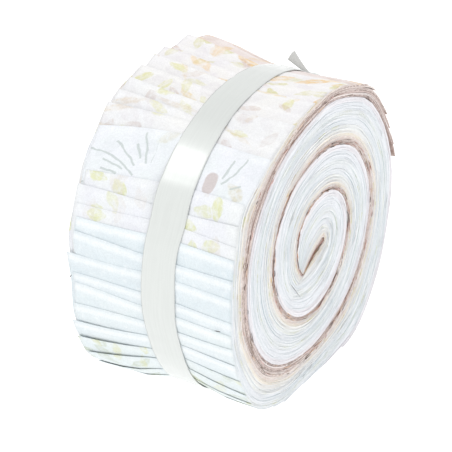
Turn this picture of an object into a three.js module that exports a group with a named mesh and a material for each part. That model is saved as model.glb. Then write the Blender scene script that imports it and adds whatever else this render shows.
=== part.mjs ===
// A bundle of pre-cut quilting strips, folded in half, wound into a roll and tied with a ribbon.
// Millimetres, +Z up. The roll's axis runs along X and its shown end faces +X.
// The origin lies under the middle of the roll, on the surface that it rests on.
import * as THREE from "three";

// The strips and the roll that they are wound into
const stripWidth = 63.5;
const rollWidth = 114;
const rollHeight = 110;
const squareness = 2.3;
const centreHeight = 53;
const edgeRounding = 1;

// Where the soft roll bulges or gives, by angle round the roll
const bulges = [
  { angle: 42, height: 0.7, spread: 12 },
  { angle: 125, height: 3, spread: 9 },
  { angle: 152, height: -1.2, spread: 12 },
  { angle: 325, height: 2.3, spread: 13 },
];

// The winding: one bundle of strips, wound outwards on itself
const turnPitch = 17.7;
const windingZero = -185;
const windingStart = -136.8;
const windingEnd = 900;
const windingRunOut = 50;
const windingStep = 7.2;
const grooveWidth = 1.6;
const grooveDepth = 1;
const shoulderShare = 0.3;

// The strips' folded ends lie round the roll like shingles, each a little past the one over it
const foldCount = 40;
const firstFold = -30;
const foldPitch = 7.35;
const foldStep = 0.8;
const foldLip = 0.9;

// Ribbon round the middle, tied at the back of the top
const ribbonCentre = 4.5;
const ribbonWidth = 13;
const ribbonThickness = 1;
const ribbonProud = 0.65;
const knotAngle = 234;
const knotNarrowing = 0.5;
const knotReach = 30;
const knotAcross = 5;
const knotAlong = 4.5;
const knotHalfHeight = 2;
const knotSides = 16;
const knotRings = 10;
const ribbonSteps = 120;

// Gaps between the pieces: the plain one, the one under the ribbon, and what flat facets take away
const gap = 0.3;
const bedGap = 0.5;
const facetSlack = 0.05;

// The ribbon's two free ends. rise is measured from the roll, half is half the ribbon's width;
// tilt and sweep are how far the edge further round stands out, and along the roll.
const tails = [
  {
    name: "ribbon_tail_long",
    front: { x: 7, angle: 226.2, rise: 2.3, half: 3.4, tilt: 0.8, sweep: -0.4 },
    back: { x: -0.7, angle: 219, rise: 4.9, half: 5.4, tilt: 2.7, sweep: -2 },
  },
  {
    name: "ribbon_tail_short",
    front: { x: 25, angle: 239, rise: 1.6, half: 6.3, tilt: 0.2, sweep: 1.5 },
    back: { x: 10.4, angle: 234.5, rise: 1.5, half: 3.4, tilt: 0, sweep: 0 },
  },
];

// Strips that have come loose: they lie in a shallow hollow of the roll and lift off its ends
const clothThickness = 1;
const looseHollow = 4.5;
const looseRise = 2.35;
const looseLength = 12.6;
const looseFolds = [
  { name: "loose_fold_1", fold: 39, liftBack: 5.2, liftFront: 0.6 },
  { name: "loose_fold_2", fold: 46.2, liftBack: 4.3, liftFront: 0.5 },
  { name: "loose_fold_3", fold: 53.4, liftBack: 3.3, liftFront: 0.4 },
  { name: "loose_fold_4", fold: 60.6, liftBack: 2.2, liftFront: 0.3 },
  { name: "loose_fold_5", fold: 67.8, liftBack: 1, liftFront: 0.2 },
];
const liftFlush = 1.2;
const lastHollow = 2.2;
const lastFold = { name: "last_fold", fold: 264, liftBack: 0.3, liftFront: 0.9 };
const lastLength = 14;

const halfStrip = stripWidth / 2;
const ribbonBack = ribbonCentre - ribbonWidth / 2;
const ribbonFront = ribbonCentre + ribbonWidth / 2;
const hollows = [
  {
    from: looseFolds[0].fold - looseLength - gap,
    to: looseFolds[looseFolds.length - 1].fold + gap,
    depth: looseHollow,
  },
  { from: lastFold.fold - lastLength - gap, to: lastFold.fold + gap, depth: lastHollow },
];

const clothPale = { color: 0xdfe9ee, roughness: 0.92, metalness: 0 };
const clothCream = { color: 0xeeebd2, roughness: 0.92, metalness: 0 };
const clothBrown = { color: 0xa98a7c, roughness: 0.92, metalness: 0 };
const satin = { color: 0xdcdcd4, roughness: 0.42, metalness: 0 };

// Angles are in degrees, clockwise from the bottom as the +X end is seen
function onRoll(x, angle, radius) {
  const turn = THREE.MathUtils.degToRad(angle);
  return new THREE.Vector3(x, -radius * Math.sin(turn), centreHeight - radius * Math.cos(turn));
}

function angleBetween(a, b) {
  return THREE.MathUtils.euclideanModulo(a - b + 180, 360) - 180;
}

// Keeps a radius above the surface that the roll rests on
function restingRadius(angle, radius, clearance = 0) {
  const down = Math.cos(THREE.MathUtils.degToRad(angle));
  const room = centreHeight - clearance;
  return down > 0 && radius * down > room ? room / down : radius;
}

function smoothRadius(angle) {
  const turn = THREE.MathUtils.degToRad(angle);
  const across = Math.abs(Math.sin(turn)) / (rollWidth / 2);
  const up = Math.abs(Math.cos(turn)) / (rollHeight / 2);
  const oval = (across ** squareness + up ** squareness) ** (-1 / squareness);
  const soft = bulges.reduce(
    (sum, b) => sum + b.height * Math.exp(-((angleBetween(angle, b.angle) / b.spread) ** 2)),
    0,
  );
  return oval + soft;
}

function hollowAt(angle) {
  return hollows.find((h) => angleBetween(angle, h.from) >= 0 && angleBetween(h.to, angle) >= 0);
}

// The roll's outer edge: one tooth for each folded end, with the hollows cut out of it
function outlineOnce() {
  const edge = [];
  const put = (angle, level) => edge.push({ angle, level });
  for (let k = 0; k < foldCount; k += 1) {
    const fold = firstFold + k * foldPitch;
    put(fold, foldStep / 2);
    put(fold + foldLip, -foldStep / 2);
  }
  const lastTooth = firstFold + foldCount * foldPitch;
  const smoothSpan = 360 + firstFold - lastTooth;
  for (let angle = lastTooth; angle < 360 + firstFold - 1; angle += foldPitch) {
    put(angle, foldStep * ((angle - lastTooth) / smoothSpan - 0.5));
  }
  const kept = edge.filter((p) => !hollowAt(p.angle));
  for (const { from, to, depth } of hollows) {
    const span = to - from;
    const steps = Math.ceil(span / foldPitch);
    for (let i = 0; i <= steps; i += 1) {
      kept.push({ angle: from + (span * i) / steps, level: -depth - facetSlack });
    }
    kept.push({ angle: from - gap, level: foldStep / 2 }, { angle: to + gap, level: -foldStep / 2 });
  }
  return kept.map((p) => ({ ...p, angle: THREE.MathUtils.euclideanModulo(p.angle, 360) }));
}

function outlineFrom(start) {
  const turned = outlineOnce().map((p) => ({
    angle: start + THREE.MathUtils.euclideanModulo(p.angle - start, 360),
    level: p.level,
  }));
  return turned
    .sort((a, b) => a.angle - b.angle)
    .filter((p) => p.angle > start + foldLip && p.angle < start + 360 - foldLip)
    .map((p) => ({ angle: p.angle, radius: restingRadius(p.angle, smoothRadius(p.angle) + p.level) }));
}

// The line where one turn of the winding meets the next, running out to the roll's edge at its end
function windingRadius(angle) {
  const spiral = (turnPitch * (angle - windingZero)) / 360;
  const squash = smoothRadius(angle) / (rollWidth / 2);
  const out = THREE.MathUtils.smoothstep(angle, windingEnd - windingRunOut, windingEnd);
  return THREE.MathUtils.lerp(spiral * squash, smoothRadius(angle), out);
}

class Solid {
  constructor() {
    this.points = [];
    this.faces = [];
  }

  add(point) {
    return this.points.push(point) - 1;
  }

  face(a, b, c, flipped = false) {
    if (a === b || b === c || c === a) return;
    this.faces.push(flipped ? [a, c, b] : [a, b, c]);
  }

  // Joins two rows of numbered points that run side by side, each with its angle
  zip(inner, outer, flipped) {
    let i = 0;
    let o = 0;
    while (i < inner.length - 1 || o < outer.length - 1) {
      const moveOuter =
        i === inner.length - 1 ||
        (o < outer.length - 1 && outer[o + 1].angle <= inner[i + 1].angle);
      if (moveOuter) {
        this.face(inner[i].index, outer[o + 1].index, outer[o].index, flipped);
        o += 1;
      } else {
        this.face(inner[i].index, inner[i + 1].index, outer[o].index, flipped);
        i += 1;
      }
    }
  }

  // Joins two closed loops of as many points
  band(from, to) {
    from.forEach((a, i) => {
      const next = (i + 1) % from.length;
      this.face(a, to[next], from[next]);
      this.face(a, to[i], to[next]);
    });
  }

  mesh(name, finish) {
    const geometry = new THREE.BufferGeometry().setFromPoints(this.points);
    geometry.setIndex(this.faces.flat());
    geometry.computeVertexNormals();
    const mesh = new THREE.Mesh(geometry, new THREE.MeshStandardMaterial(finish));
    mesh.name = name;
    return mesh;
  }
}

// One end of the roll: a spiral groove between its turns. Returns the loop of its outer edge.
function addEnd(solid, side, outline) {
  const flipped = side < 0;
  const put = (angle, radius, inset) => ({
    index: solid.add(onRoll(side * (halfStrip - inset), angle, radius)),
    angle,
  });
  const rows = Math.round((windingEnd - windingStart) / windingStep);
  const rowsPerTurn = Math.round(360 / windingStep);
  const angles = Array.from({ length: rows + 1 }, (_, i) => windingStart + i * windingStep);
  const vein = angles.map((angle) => put(angle, windingRadius(angle), grooveDepth));
  const rim = outline.map((p) => put(p.angle, p.radius, edgeRounding));

  const rimRadius = (angle) => {
    const next = outline.findIndex((p) => p.angle >= angle);
    if (next <= 0) return windingRadius(windingEnd);
    const [a, b] = [outline[next - 1], outline[next]];
    return THREE.MathUtils.mapLinear(angle, a.angle, b.angle, a.radius, b.radius);
  };
  const within = [vein[0]];
  const without = [{ index: vein[rowsPerTurn].index, angle: windingStart }];
  const shoulder = (angle) => {
    const near = windingRadius(angle);
    const inEdge = angle + 360 > windingEnd;
    const far = inEdge ? rimRadius(angle) : windingRadius(angle + 360);
    const wide = Math.min(grooveWidth / 2, (far - near) * shoulderShare);
    return { near: near + wide, far: far - wide };
  };
  for (const angle of angles.slice(1, -1)) {
    within.push(put(angle, shoulder(angle).near, 0));
    if (angle + 360 <= windingEnd) without.push(put(angle, shoulder(angle).far, 0));
  }
  for (const p of outline) {
    const near = windingRadius(p.angle);
    const wide = Math.min(edgeRounding, (p.radius - near) * shoulderShare);
    without.push(put(p.angle, p.radius - wide, 0));
  }

  const end = vein[vein.length - 1];
  const outer = vein.slice(rowsPerTurn).map((v) => ({ index: v.index, angle: v.angle - 360 }));
  const closing = { index: end.index, angle: windingEnd };
  solid.zip(vein, [...within, closing], flipped);
  solid.zip([...within, closing], [...without, closing], flipped);
  solid.zip([...without, closing], [...outer, ...rim, closing], flipped);

  const firstTurn = vein.slice(0, rowsPerTurn + 1);
  const inside = firstTurn.slice(1, -1).map(({ angle }) => {
    const near = windingRadius(angle);
    return put(angle, near - Math.min(grooveWidth / 2, near * shoulderShare), 0);
  });
  const coreEdge = [firstTurn[0], ...inside, firstTurn[rowsPerTurn]];
  solid.zip(coreEdge, firstTurn, flipped);
  const core = coreEdge.map((v) => v.index);
  const flat = core.map((index) => new THREE.Vector2(solid.points[index].y, solid.points[index].z));
  for (const [a, b, c] of THREE.ShapeUtils.triangulateShape(flat, [])) {
    const turnsLeft = THREE.ShapeUtils.area([flat[a], flat[b], flat[c]]) > 0;
    solid.face(core[a], core[b], core[c], turnsLeft === flipped);
  }
  return [end.index, ...rim.map((v) => v.index)];
}

function rollBody() {
  const solid = new Solid();
  const outline = outlineFrom(windingEnd - 360);
  const frontRim = addEnd(solid, 1, outline);
  const backRim = addEnd(solid, -1, outline);
  const edge = [{ angle: windingEnd, radius: windingRadius(windingEnd) }, ...outline];
  const bed = ribbonThickness + bedGap - ribbonProud;
  const loopAt = (x, pressed) =>
    edge.map((p) => {
      const under = restingRadius(p.angle, smoothRadius(p.angle) - bed, ribbonThickness + bedGap);
      return solid.add(onRoll(x, p.angle, pressed ? Math.min(p.radius, under) : p.radius));
    });
  const loops = [
    backRim,
    loopAt(ribbonBack - gap * 2, false),
    loopAt(ribbonBack - gap, true),
    loopAt(ribbonFront + gap, true),
    loopAt(ribbonFront + gap * 2, false),
    frontRim,
  ];
  loops.slice(1).forEach((loop, i) => solid.band(loops[i], loop));
  return solid.mesh("roll_body", clothPale);
}

// A sheet over a grid of rows and columns; place(row, column, side) gives a point of either face
function sheetSolid(name, finish, rows, columns, place) {
  const solid = new Solid();
  const grid = [0, 1].map((side) =>
    Array.from({ length: rows + 1 }, (_, r) =>
      Array.from({ length: columns + 1 }, (_, c) => solid.add(place(r / rows, c / columns, side))),
    ),
  );
  const quad = (a, b, c, d) => {
    solid.face(a, b, c);
    solid.face(a, c, d);
  };
  const [under, over] = grid;
  for (let r = 0; r < rows; r += 1) {
    for (let c = 0; c < columns; c += 1) {
      quad(over[r][c], over[r][c + 1], over[r + 1][c + 1], over[r + 1][c]);
      quad(under[r][c], under[r + 1][c], under[r + 1][c + 1], under[r][c + 1]);
    }
  }
  for (let r = 0; r < rows; r += 1) {
    quad(under[r][0], over[r][0], over[r + 1][0], under[r + 1][0]);
    quad(over[r][columns], under[r][columns], under[r + 1][columns], over[r + 1][columns]);
  }
  for (let c = 0; c < columns; c += 1) {
    quad(over[0][c], under[0][c], under[0][c + 1], over[0][c + 1]);
    quad(under[rows][c], over[rows][c], over[rows][c + 1], under[rows][c + 1]);
  }
  return solid.mesh(name, finish);
}

// How far the folded end of a loose strip stands off, along its width: none under the ribbon
function liftAt(x, strip) {
  const back = THREE.MathUtils.clamp((ribbonBack - gap * 2 - x) / (ribbonBack + halfStrip), 0, 1);
  const front = THREE.MathUtils.clamp((x - ribbonFront - gap * 2) / (halfStrip - ribbonFront), 0, 1);
  const away = Math.max(back, front);
  const flush = liftFlush * THREE.MathUtils.smoothstep(away, 0, 0.3);
  return flush + strip.liftBack * back ** 1.5 + strip.liftFront * front ** 2;
}

function looseStrip(strip, length, hollow, rise, finish) {
  const rows = 5;
  const columns = 14;
  return sheetSolid(strip.name, finish, rows, columns, (along, across, side) => {
    const x = THREE.MathUtils.lerp(-halfStrip, halfStrip, across);
    const angle = strip.fold - length * (1 - along);
    const climb = rise * along + liftAt(x, strip) * along ** 2;
    const radius = smoothRadius(angle) - hollow + gap + climb + side * clothThickness;
    return onRoll(x, angle, restingRadius(angle, radius, (1 - side) * clothThickness));
  });
}

function ribbonBand() {
  const solid = new Solid();
  const rings = [0, 1, 2, 3].map(() => []);
  for (let i = 0; i < ribbonSteps; i += 1) {
    const angle = (360 * i) / ribbonSteps;
    const near = 1 - Math.min(1, Math.abs(angleBetween(angle, knotAngle)) / knotReach);
    const half = (ribbonWidth / 2) * (1 - knotNarrowing * near);
    const rise = smoothRadius(angle) + ribbonProud;
    const outer = restingRadius(angle, rise);
    const inner = restingRadius(angle, rise - ribbonThickness, ribbonThickness);
    rings[0].push(solid.add(onRoll(ribbonCentre - half, angle, outer)));
    rings[1].push(solid.add(onRoll(ribbonCentre + half, angle, outer)));
    rings[2].push(solid.add(onRoll(ribbonCentre + half, angle, inner)));
    rings[3].push(solid.add(onRoll(ribbonCentre - half, angle, inner)));
  }
  rings.forEach((ring, i) => solid.band(ring, rings[(i + 1) % rings.length]));
  return solid.mesh("ribbon_band", satin);
}

// The knot is a low lump on the band
function ribbonKnot() {
  const lump = new THREE.SphereGeometry(1, knotSides, knotRings);
  lump.scale(knotAcross, knotAlong, knotHalfHeight);
  const mesh = new THREE.Mesh(lump, new THREE.MeshStandardMaterial(satin));
  const radius = smoothRadius(knotAngle) + ribbonProud + gap + knotHalfHeight;
  mesh.position.copy(onRoll(ribbonCentre, knotAngle, radius));
  mesh.rotation.x = THREE.MathUtils.degToRad(180 - knotAngle);
  mesh.name = "ribbon_knot";
  return mesh;
}

function ribbonTail({ name, front, back }) {
  const rows = 6;
  const columns = 4;
  return sheetSolid(name, satin, rows, columns, (along, across, side) => {
    const at = (key) => THREE.MathUtils.lerp(front[key], back[key], along);
    const edge = across * 2 - 1;
    const middle = smoothRadius(at("angle")) + at("rise");
    const angle = at("angle") + THREE.MathUtils.radToDeg((edge * at("half")) / middle);
    const out = at("rise") + edge * at("tilt") + (side - 0.5) * ribbonThickness;
    return onRoll(at("x") + edge * at("sweep"), angle, smoothRadius(angle) + out);
  });
}

const object = new THREE.Group();
object.add(rollBody());
for (const strip of looseFolds) {
  object.add(looseStrip(strip, looseLength, looseHollow, looseRise, clothCream));
}
object.add(looseStrip(lastFold, lastLength, lastHollow, 0, clothBrown));
object.add(ribbonBand(), ribbonKnot());
for (const tail of tails) object.add(ribbonTail(tail));

export default object;
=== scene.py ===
import math

import bmesh
import bpy
import numpy as np
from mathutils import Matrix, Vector


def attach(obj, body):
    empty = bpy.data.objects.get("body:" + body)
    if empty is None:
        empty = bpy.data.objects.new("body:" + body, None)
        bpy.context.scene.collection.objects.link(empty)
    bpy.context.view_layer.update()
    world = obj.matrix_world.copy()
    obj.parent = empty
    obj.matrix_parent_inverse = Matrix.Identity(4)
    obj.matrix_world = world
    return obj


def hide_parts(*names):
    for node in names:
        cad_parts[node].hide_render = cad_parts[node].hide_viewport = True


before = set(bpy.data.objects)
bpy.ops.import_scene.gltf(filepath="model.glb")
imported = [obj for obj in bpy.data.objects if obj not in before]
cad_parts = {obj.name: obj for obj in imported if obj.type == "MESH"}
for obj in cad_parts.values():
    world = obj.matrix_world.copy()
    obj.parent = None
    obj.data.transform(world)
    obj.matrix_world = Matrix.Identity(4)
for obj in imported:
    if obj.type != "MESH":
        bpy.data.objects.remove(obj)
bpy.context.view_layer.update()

mm = 0.001
dice = np.random.default_rng(7)

# Places and lengths are in millimetres. Angles are in degrees, clockwise from the bottom of the
# roll as its +X end is seen, so 90 is its -Y side and 180 its top.
roll = {
    "stripWidth": 63.5,
    "width": 114,
    "height": 110,
    "squareness": 2.3,
    "centreHeight": 53,
    "floorGap": 0.15,
    "nearlyLevel": 0.05,
    # angle, height, spread
    "bulges": [(42, 1.5, 12), (125, 3, 9), (152, -1.2, 12), (325, 2.3, 13)],
    # how the back end and the middle differ: angle, height, spread, and the x from and to which it grows
    "unevenness": [
        (48, 1.5, 11, 5, -32), (88, -2.2, 15, 5, -32), (42, -1.2, 12, 20, 8), (42, 1.2, 12, 0, -12),
        (124, -2.4, 11, 26, 2), (148, 0.9, 14, 26, 2), (118, -0.5, 16, 0, -32), (186, 1.0, 26, 10, -32),
        (214, 2.6, 12, 0, -32), (150, 1.0, 16, 5, -32), (190, 1.2, 10, 14, 32), (222, 0.9, 8, 5, 32),
    ],
}
rollRadius, halfStrip = roll["width"] / 2, roll["stripWidth"] / 2

# One bundle of folded strips wound on itself. radii is the line between two turns, given each
# eighth of a turn. The start of the bundle is turned round a pivot and lies in a hairpin.
winding = {
    "start": -285,
    "pivotFrom": -196,
    "pivotTo": -46,
    "pivot": (4.8, -0.2),
    "hairpinAngle": 51,
    "hairpinBlend": 12,
    "hairpin": (-9.0, -7.3),
    "slit": -0.05,
    "outlineBlend": 40,
    "outerTurn": 720,
    "radiiFrom": 45,
    "radii": [
        11.0, 12.5, 15.3, 17.5, 20.9, 23.2, 24.1, 25.5, 25.7, 28.2, 32.3,
        33.8, 37.2, 40.0, 39.6, 40.0, 43.8, 46.3, 48.8, 50.0, 54.2, 57.0,
    ],
    # how tightly the innermost strips lie, by angle: above 1 is tighter than the rest, below 1 looser
    "tightness": [(-285, 1.6), (50, 1.7), (400, 1.4), (640, 1.2), (760, 0.9), (850, 0.8), (984, 0.85)],
    "chordBow": -0.9,
}

# The strips, counted from the innermost. Their folded ends show one after another round the roll.
strips = {
    "count": 40,
    "firstFold": 690,
    "foldPitch": 7.35,
    "foldCrowding": 5.5,
    "crowdedPlaces": (8, 38),
    "foldJitter": 0.5,
    "foldSlant": 0.9,
    "foldWave": 0.3,
    "foldWaveLength": 11,
    "foldSettles": 30,
    "innerStep": 8,
    "outerStep": 3,
    "outerFrom": 640,
    "lastTaper": 8,
    "cloth": 0.27,
    "innerCloth": 0.6,
    "thinning": (200, 600),  # the angles between which a layer thins from the inner to the outer cloth
    "fill": 0.985,
    "layerShares": (0.27, 0.73),
    "layerHalf": 0.25,
    "foldPressed": (0.45, 0.7),  # the share of its thickness that an outer or an inner folded edge loses
    "pressedPlaces": (22, 27),
    "foldReach": 3.5,
    "foldStations": (1, 0.7, 0.45, 0.25, 0.1, 0),
    # how far from each fold, in mm, the painted highlight along the folded edges reaches
    "foldHighlightBand": 1.2,
    "lipSteps": 7,
    # at the front and at the back
    "edgeOffset": (0.14, 0.75),
    "edgeWander": (0.1, 0.4),
    "wanderFrom": 26,
    "wanderSpans": (31, 13, 5.2),
    "columns": [-31.75, -30.6, -27, -20, -12, -5.5, -2, 4.5, 11, 14.5, 20, 26, 30.6, 31.75],
    "looseFrom": 9,
    "looseCount": 5,
}

# Where the plainest folded ends lie, counted from the outermost strip: angle at the back, under
# the ribbon and at the front
foldLines = {
    10: (37, 44, 41), 11: (43.5, 51, 47), 12: (51.5, 59.3, 53), 13: (59.8, 64.8, 61), 14: (67.9, 70.8, 69.8),
    15: (75, 77.2, 77.3), 16: (83.4, 83.7, 82.4), 17: (87.8, 88.9, 88), 18: (95.9, 97, 96.9),
    19: (104.5, 103.5, 103.2), 20: (109.8, 110.8, 110.4), 21: (114.5, 115.8, 115), 22: (120.6, 121, 121.4),
    23: (125.6, 129.2, 128), 24: (141.2, 147.5, 146.3), 25: (150.5, 153, 152),
}

# Folded ends that gape: how far each stands off the next at the back and at the front
gapes = {
    "reach": 15,
    "lastReach": 30,
    "under": 3,
    "sides": (-20, 25),
    "riseLimit": 1.1,
    "steepness": 1.2,
    # the usual fold, by its place: place, back, front; it swings to and fro from one to the next
    "usual": [(1, 0.03, 0.03), (23, 0.03, 0.03), (25, 1.3, 0.1), (32, 1.4, 0.25), (38, 0.7, 0.4)],
    "swing": 0.6,
    "beat": 2.4,
    "folds": {
        3: (0.1, 0.5), 4: (0.1, 0.6), 5: (0.1, 0.6), 6: (0.2, 0.5), 7: (0.2, 0.4), 8: (0.2, 0.3),
        9: (0.3, 0.3), 10: (0.7, 0.3), 11: (1.0, 0.3), 12: (1.2, 0.35), 13: (1.3, 0.3), 14: (0.6, 0.2),
        24: (1.1, 0.1), 38: (0.5, 0.4), 39: (0.6, 0.7), 40: (0.8, 4.2),
    },
}

ribbon = {
    "middle": 4.5,
    "width": 13,
    "thickness": 0.17,
    "taut": (124, 153),
    # angles between which the ribbon's colour darkens towards the top of the roll: painted shade
    "paintedShade": (146, 158),
    "reach": 56,
    "proud": 0.14,
    "sink": 0.1,
    "press": 0.5,
    "pressFlat": 6,
    "pressReach": 10,
    "knotAngle": 234,
    # angle, middle, width
    "course": [
        (0, 4.5, 12.5), (45, 4.5, 12.5), (60, 4.9, 12.3), (71, 4.0, 12.8), (80, 3.2, 13.2), (90, 3.4, 13.2),
        (100, 3.1, 12.6), (108, 3.3, 12.8), (117, 4.6, 13.4), (127, 4.5, 13.2), (135, 4.3, 13.4),
        (143, 4.4, 13), (151, 3.9, 12.6), (160, 3.6, 12.3), (171, 3.4, 12.3), (183, 2.9, 12.2),
        (195, 2.9, 11.4), (205, 3.2, 10), (214, 3.8, 8), (224, 4.3, 5.8), (246, 4.5, 5.8), (266, 4.5, 9),
        (290, 4.5, 12), (320, 4.5, 12.6), (360, 4.5, 12.5),
    ],
}


def angleBetween(a, b):
    return (np.asarray(a, float) - b + 180) % 360 - 180


def smoothBetween(value, low, high):
    t = np.clip((np.asarray(value, float) - low) / (high - low), 0, 1)
    return t * t * (3 - 2 * t)


def unit(vectors):
    return vectors / np.maximum(np.linalg.norm(vectors, axis=-1, keepdims=True), 1e-9)


def outward(angle):
    turn = np.radians(angle)
    return np.stack([-np.sin(turn), -np.cos(turn)], axis=-1)


# Places in the frame, from x and from points across the roll
def onRoll(x, points):
    x = np.broadcast_to(x, points.shape[:-1])
    return np.stack([x, points[..., 0], points[..., 1] + roll["centreHeight"]], axis=-1)


def restingRadius(angle, radius, clearance=0.0):
    down = np.cos(np.radians(angle))
    room = (roll["centreHeight"] - clearance) / np.maximum(down, roll["nearlyLevel"])
    return np.where(down > roll["nearlyLevel"], np.minimum(radius, room), radius)


def outlineRadius(angle):
    turn = np.radians(angle)
    across = np.abs(np.sin(turn)) / rollRadius
    up = np.abs(np.cos(turn)) / (roll["height"] / 2)
    radius = (across ** roll["squareness"] + up ** roll["squareness"]) ** (-1 / roll["squareness"])
    for at, height, spread in roll["bulges"]:
        radius = radius + height * np.exp(-((angleBetween(angle, at) / spread) ** 2))
    return restingRadius(angle, radius)


# A smooth curve through values that stand a fixed step apart
def throughValues(values, place):
    values = np.asarray(values, float)
    place = np.clip(place, 0, len(values) - 1)
    step = np.minimum(place.astype(int), len(values) - 2)
    t = place - step
    before, a, b, after = (values[np.clip(step + k, 0, len(values) - 1)] for k in (-1, 0, 1, 2))
    bend = 2 * before - 5 * a + 4 * b - after + t * (3 * (a - b) + after - before)
    return a + 0.5 * t * (b - before + t * bend)


def turnLine(angle):
    return throughValues(winding["radii"], (np.asarray(angle, float) - winding["radiiFrom"]) / 45)


def foldAngle(k):
    place = strips["count"] - k
    if place in foldLines:
        return winding["outerTurn"] + foldLines[place][1]
    low, high = strips["crowdedPlaces"]
    crowded = np.sin(np.pi * np.clip((place - low) / (high - low), 0, 1))
    return strips["firstFold"] + strips["foldPitch"] * place - strips["foldCrowding"] * crowded


# The bundle's inner face, and its outer face, on which its next turn lies
def bundleInner(angle):
    angle = np.asarray(angle, float)
    hairpin, pivot = np.array(winding["hairpin"]), np.array(winding["pivot"])
    out = np.clip((angle - winding["start"]) / (winding["pivotFrom"] - winding["start"]), 0, 1)
    back = np.clip((angle - winding["pivotTo"]) / (winding["hairpinAngle"] - winding["pivotTo"]), 0, 1)
    chord = hairpin + (pivot - hairpin) * (out - back)[..., None]
    normal = np.array([(hairpin - pivot)[1], (pivot - hairpin)[0]]) / np.linalg.norm(pivot - hairpin)
    chord = chord - normal * (winding["chordBow"] * np.sin(np.pi * np.clip(out - back, 0, 1)))[..., None]
    chord = chord + winding["slit"] * unit(bundleOuter(angle) - chord)
    spiral = outward(angle) * turnLine(angle)[..., None]
    low, high = (winding["hairpinAngle"] + side * winding["hairpinBlend"] for side in (-1, 1))
    return chord + (spiral - chord) * smoothBetween(angle, low, high)[..., None]


def bundleOuter(angle):
    nextTurn = np.asarray(angle) + 360
    lastFold = foldAngle(0)
    last = smoothBetween(nextTurn, lastFold, lastFold + winding["outlineBlend"])
    radius = turnLine(nextTurn) * (1 - last) + outlineRadius(angle) * last
    return outward(angle) * radius[..., None]


foldAngles = np.array([foldAngle(k) for k in reversed(range(strips["count"]))])
topShares = np.arange(strips["count"], 0, -1) / strips["count"]


def topShare(angle):
    ends = np.append(foldAngles, foldAngles[-1] + strips["foldPitch"])
    return np.interp(angle, ends, np.append(topShares, topShares[-1] / strips["lastTaper"]))


# Layers crowd together in places and part in others: size, waves across the bundle, the angle that one
# wave takes along it, and phase
crowdingWaves = [(0.0028, 11, 410, 1.3), (0.0016, 23, -270, 4.1), (0.0006, 41, 190, 0)]


def crowding(angle, share):
    swing = sum(
        size * np.sin(2 * np.pi * (waves * share + angle / turn) + phase)
        for size, waves, turn, phase in crowdingWaves
    )
    return swing * smoothBetween(share, 0, 0.06) * smoothBetween(1 - share, 0, 0.06)


def layerPoint(angle, share):
    inner, outer = bundleInner(angle), bundleOuter(angle)
    part = np.clip(share + crowding(angle, share), 0, None) / topShare(angle)
    tightness = np.interp(angle, *np.array(winding["tightness"]).T)
    return inner + (outer - inner) * (part ** tightness)[..., None]


# The outside is lightly crumpled, by waves drawn by chance
crumple = {"height": 0.3, "waves": 7, "turns": (3, 15), "along": (0.02, 0.12), "sizes": (0.4, 1)}


def drawWave():
    turns, along = dice.integers(*crumple["turns"]), dice.uniform(*crumple["along"])
    return turns, along, dice.uniform(0, 2 * np.pi), dice.uniform(*crumple["sizes"])


crumpleWaves = [drawWave() for wave in range(crumple["waves"])]


def crumpled(angle, x):
    sway = sum(
        size * np.sin(np.radians(angle) * turns + x * along + phase)
        for turns, along, phase, size in crumpleWaves
    )
    return crumple["height"] * sway / crumple["waves"] ** 0.5


def unevenness(angle, x):
    total = 0
    for at, height, spread, start, end in roll["unevenness"]:
        swell = height * np.exp(-((angleBetween(angle, at) / spread) ** 2))
        total = total + swell * smoothBetween((start - x) / (start - end), 0, 1)
    return total


def pressed(x):
    away = np.clip(np.abs(x - ribbon["middle"]) - ribbon["pressFlat"], 0, None)
    return ribbon["press"] * np.exp(-(away ** 2) / ribbon["pressReach"] ** 2)


def freeOfRibbon(x):
    return 1 - np.exp(-(((x - ribbon["middle"]) / ribbon["pressReach"]) ** 2))


def gapeAt(k, x):
    place = strips["count"] - k
    places, *sides = np.array(gapes["usual"]).T
    swing = 1 + gapes["swing"] * np.sin(gapes["beat"] * place)
    usual = [np.interp(place, places, side) * swing for side in sides]
    back, front = gapes["folds"].get(place, usual)
    gape = back + (front - back) * smoothBetween(x, *gapes["sides"])
    rise = np.minimum(np.abs(x - ribbon["middle"]) / halfStrip, gapes["riseLimit"])
    return gape * freeOfRibbon(x) * rise ** gapes["steepness"]


def liftOf(k, angle, x):
    lift = np.zeros(np.broadcast(angle, x).shape)
    for j in range(max(0, k - gapes["under"]), k + 1):
        ahead = np.clip((foldAngle(j) - angle) / gapes["reach" if j else "lastReach"], 0, 1)
        lift = lift + gapeAt(j, x) * (1 - ahead) ** 2
    return lift


# Points of the plain winding, moved by what lies on or under them. The middle of the roll stays.
def softened(points, k, angle, x):
    radius = np.linalg.norm(points, axis=-1)
    way = points / np.maximum(radius, 1e-6)[..., None]
    share = radius / rollRadius
    moved = radius * (1 - pressed(x) / rollRadius * share ** 4) + liftOf(k, angle, x)
    moved = moved + (crumpled(angle, x) + unevenness(angle, x)) * share ** 4
    points = way * moved[..., None]
    points[..., 1] = np.maximum(points[..., 1], -roll["centreHeight"] + roll["floorGap"])
    return points


def addObject(name, data, materials=()):
    for material in materials:
        data.materials.append(material)
    made = bpy.data.objects.new(name, data)
    bpy.context.collection.objects.link(made)
    return made
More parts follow.
